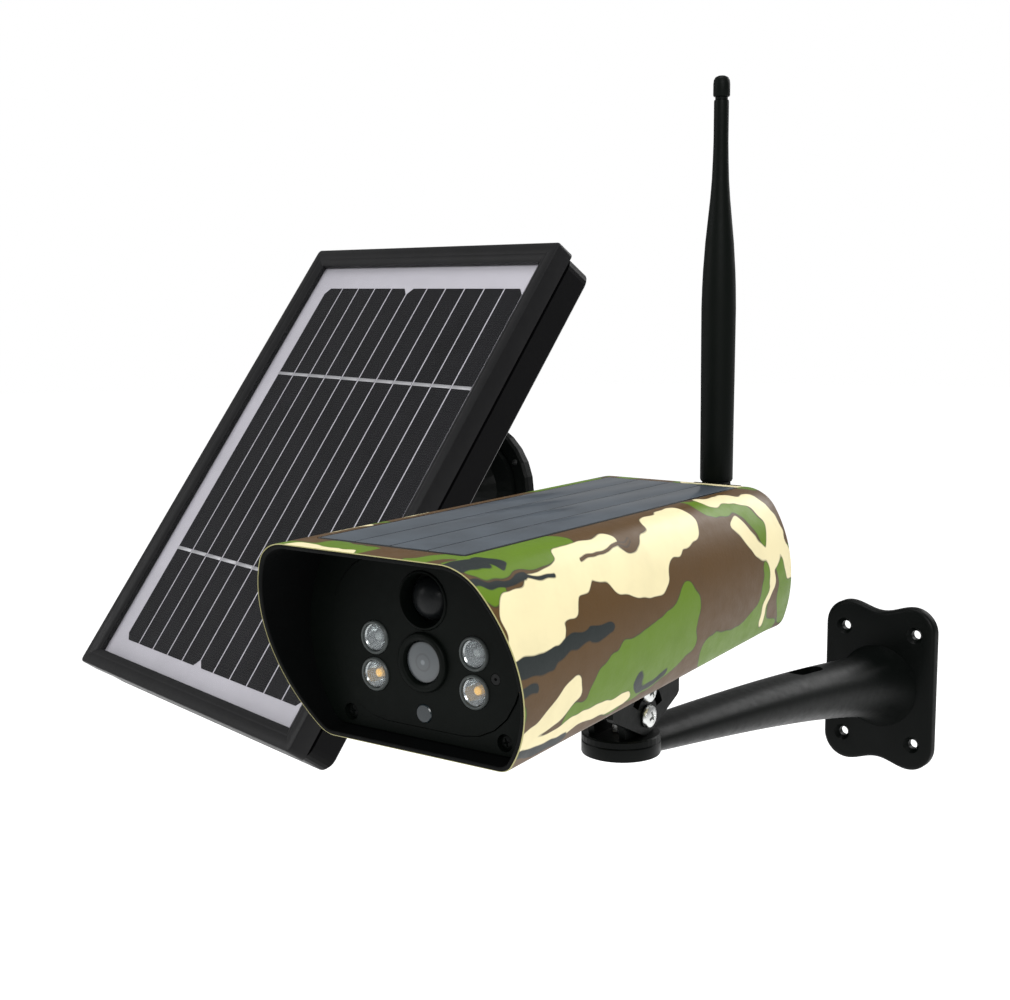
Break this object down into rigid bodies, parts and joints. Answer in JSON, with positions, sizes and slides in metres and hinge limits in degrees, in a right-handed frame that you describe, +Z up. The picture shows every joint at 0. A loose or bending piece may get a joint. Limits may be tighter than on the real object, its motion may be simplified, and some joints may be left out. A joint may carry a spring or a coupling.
{
  "type": "solar-powered security camera",
  "caption": "Outdoor bullet camera with a hooded barrel, roof solar panel and folding antenna on a tilting wall bracket, with a separate framed solar panel on its own bracket.",
  "frame": {"origin": "centre of the camera bracket's wall plate, on its back face", "axes": "+Y into the wall, +Z up, the camera looks along -Y, and +X is to the right of someone facing the wall"},
  "size_m": [0.5089, 0.426, 0.3553],
  "materials": {
    "shell_camouflage": "satin",
    "black_coating": "satin",
    "black_plastic": "satin",
    "gloss_black": "gloss",
    "rubber": "matte",
    "clear_window": "gloss",
    "dark_glass": "gloss",
    "reflector": "polished",
    "steel": "satin",
    "circuit_board": "satin",
    "cell_wrap": "satin",
    "solar_cell": "gloss"
  },
  "bodies": {
    "wall_mounts": {"wall_arm": "black_coating", "panel_wall_base": "black_coating", "panel_pan_bolt": "steel"},
    "swivel": {"swivel_yoke": "black_coating", "tilt_bolt": "steel", "lock_screw": "steel", "tilt_nut": "steel", "pan_bolt": "steel", "pan_nut": "steel"},
    "camera_head": {"mount_foot": "black_coating", "foot_screw_front": "steel", "foot_screw_rear": "steel", "outer_shell": "shell_camouflage", "roof_solar_panel": "solar_cell", "roof_panel_gasket": "rubber", "front_bezel": "black_plastic", "face_plate": "black_plastic", "led_board": "circuit_board", "led_reflector_left_high": "reflector", "led_reflector_left_low": "reflector", "led_reflector_right_high": "reflector", "led_reflector_right_low": "reflector", "lens_collar": "gloss_black", "lens_window": "clear_window", "lens_barrel": "gloss_black", "sensor_board": "circuit_board", "motion_sensor_cup": "gloss_black", "motion_sensor_dome": "dark_glass", "light_sensor_window": "dark_glass", "microphone": "rubber", "front_screw_left": "black_coating", "front_screw_right": "black_coating", "chassis_sled": "black_plastic", "battery_tray": "black_plastic", "battery_cell_left": "cell_wrap", "battery_cell_middle": "cell_wrap", "battery_cell_right": "cell_wrap", "main_board": "circuit_board", "speaker": "black_coating", "rear_cover": "black_plastic", "rear_gasket": "rubber", "rear_screw_left": "steel", "rear_screw_right": "steel", "panel_inlet": "black_coating", "antenna_ferrule": "steel"},
    "power_button": {"power_button": "rubber"},
    "port_flap": {"port_flap": "rubber"},
    "antenna_elbow": {"antenna_elbow": "black_plastic"},
    "antenna": {"antenna_rod": "black_plastic"},
    "panel_link": {"panel_link": "black_coating"},
    "solar_panel": {"panel_back_plate": "black_coating", "panel_tilt_bolt": "steel", "panel_screw_left": "steel", "panel_screw_right": "steel", "panel_frame": "black_plastic", "panel_glass": "clear_window", "panel_laminate": "solar_cell", "panel_rear_box": "black_plastic", "junction_box": "black_plastic"}
  },
  "joints": [
    {"name": "camera_pan", "type": "hinge", "parent": "wall_mounts", "child": "swivel", "pos_m": [0, -0.256, 0.0423], "axis": [0, 0, 1], "range_deg": [-60, 90]},
    {"name": "camera_tilt", "type": "hinge", "parent": "swivel", "child": "camera_head", "pos_m": [0, -0.256, 0.0423], "axis": [0.998, 0.0635, 0], "range_deg": [-25, 25]},
    {"name": "antenna_turn", "type": "hinge", "parent": "camera_head", "child": "antenna_elbow", "pos_m": [0.00923, -0.19629, 0.1263], "axis": [-0.0635, 0.998, 0], "range_deg": [-100, 100]},
    {"name": "antenna_fold", "type": "hinge", "parent": "antenna_elbow", "child": "antenna", "pos_m": [0.00923, -0.19629, 0.1263], "axis": [-0.998, -0.0635, 0], "range_deg": [0, 90]},
    {"name": "power_button_press", "type": "slide", "parent": "camera_head", "child": "power_button", "axis": [0.0635, -0.998, 0], "range_m": [0, 0.001]},
    {"name": "port_flap_open", "type": "hinge", "parent": "camera_head", "child": "port_flap", "pos_m": [-0.0129, -0.21073, 0.0803], "axis": [-0.998, -0.0635, 0], "range_deg": [0, 110]},
    {"name": "panel_pan", "type": "hinge", "parent": "wall_mounts", "child": "panel_link", "pos_m": [-0.2902, -0.0852, 0.0875], "axis": [0, 0, 1], "range_deg": [-2, 28]},
    {"name": "panel_tilt", "type": "hinge", "parent": "panel_link", "child": "solar_panel", "pos_m": [-0.29518, -0.1097, 0.0875], "axis": [0.9799, -0.1994, 0], "range_deg": [-2, 36]}
  ]
}
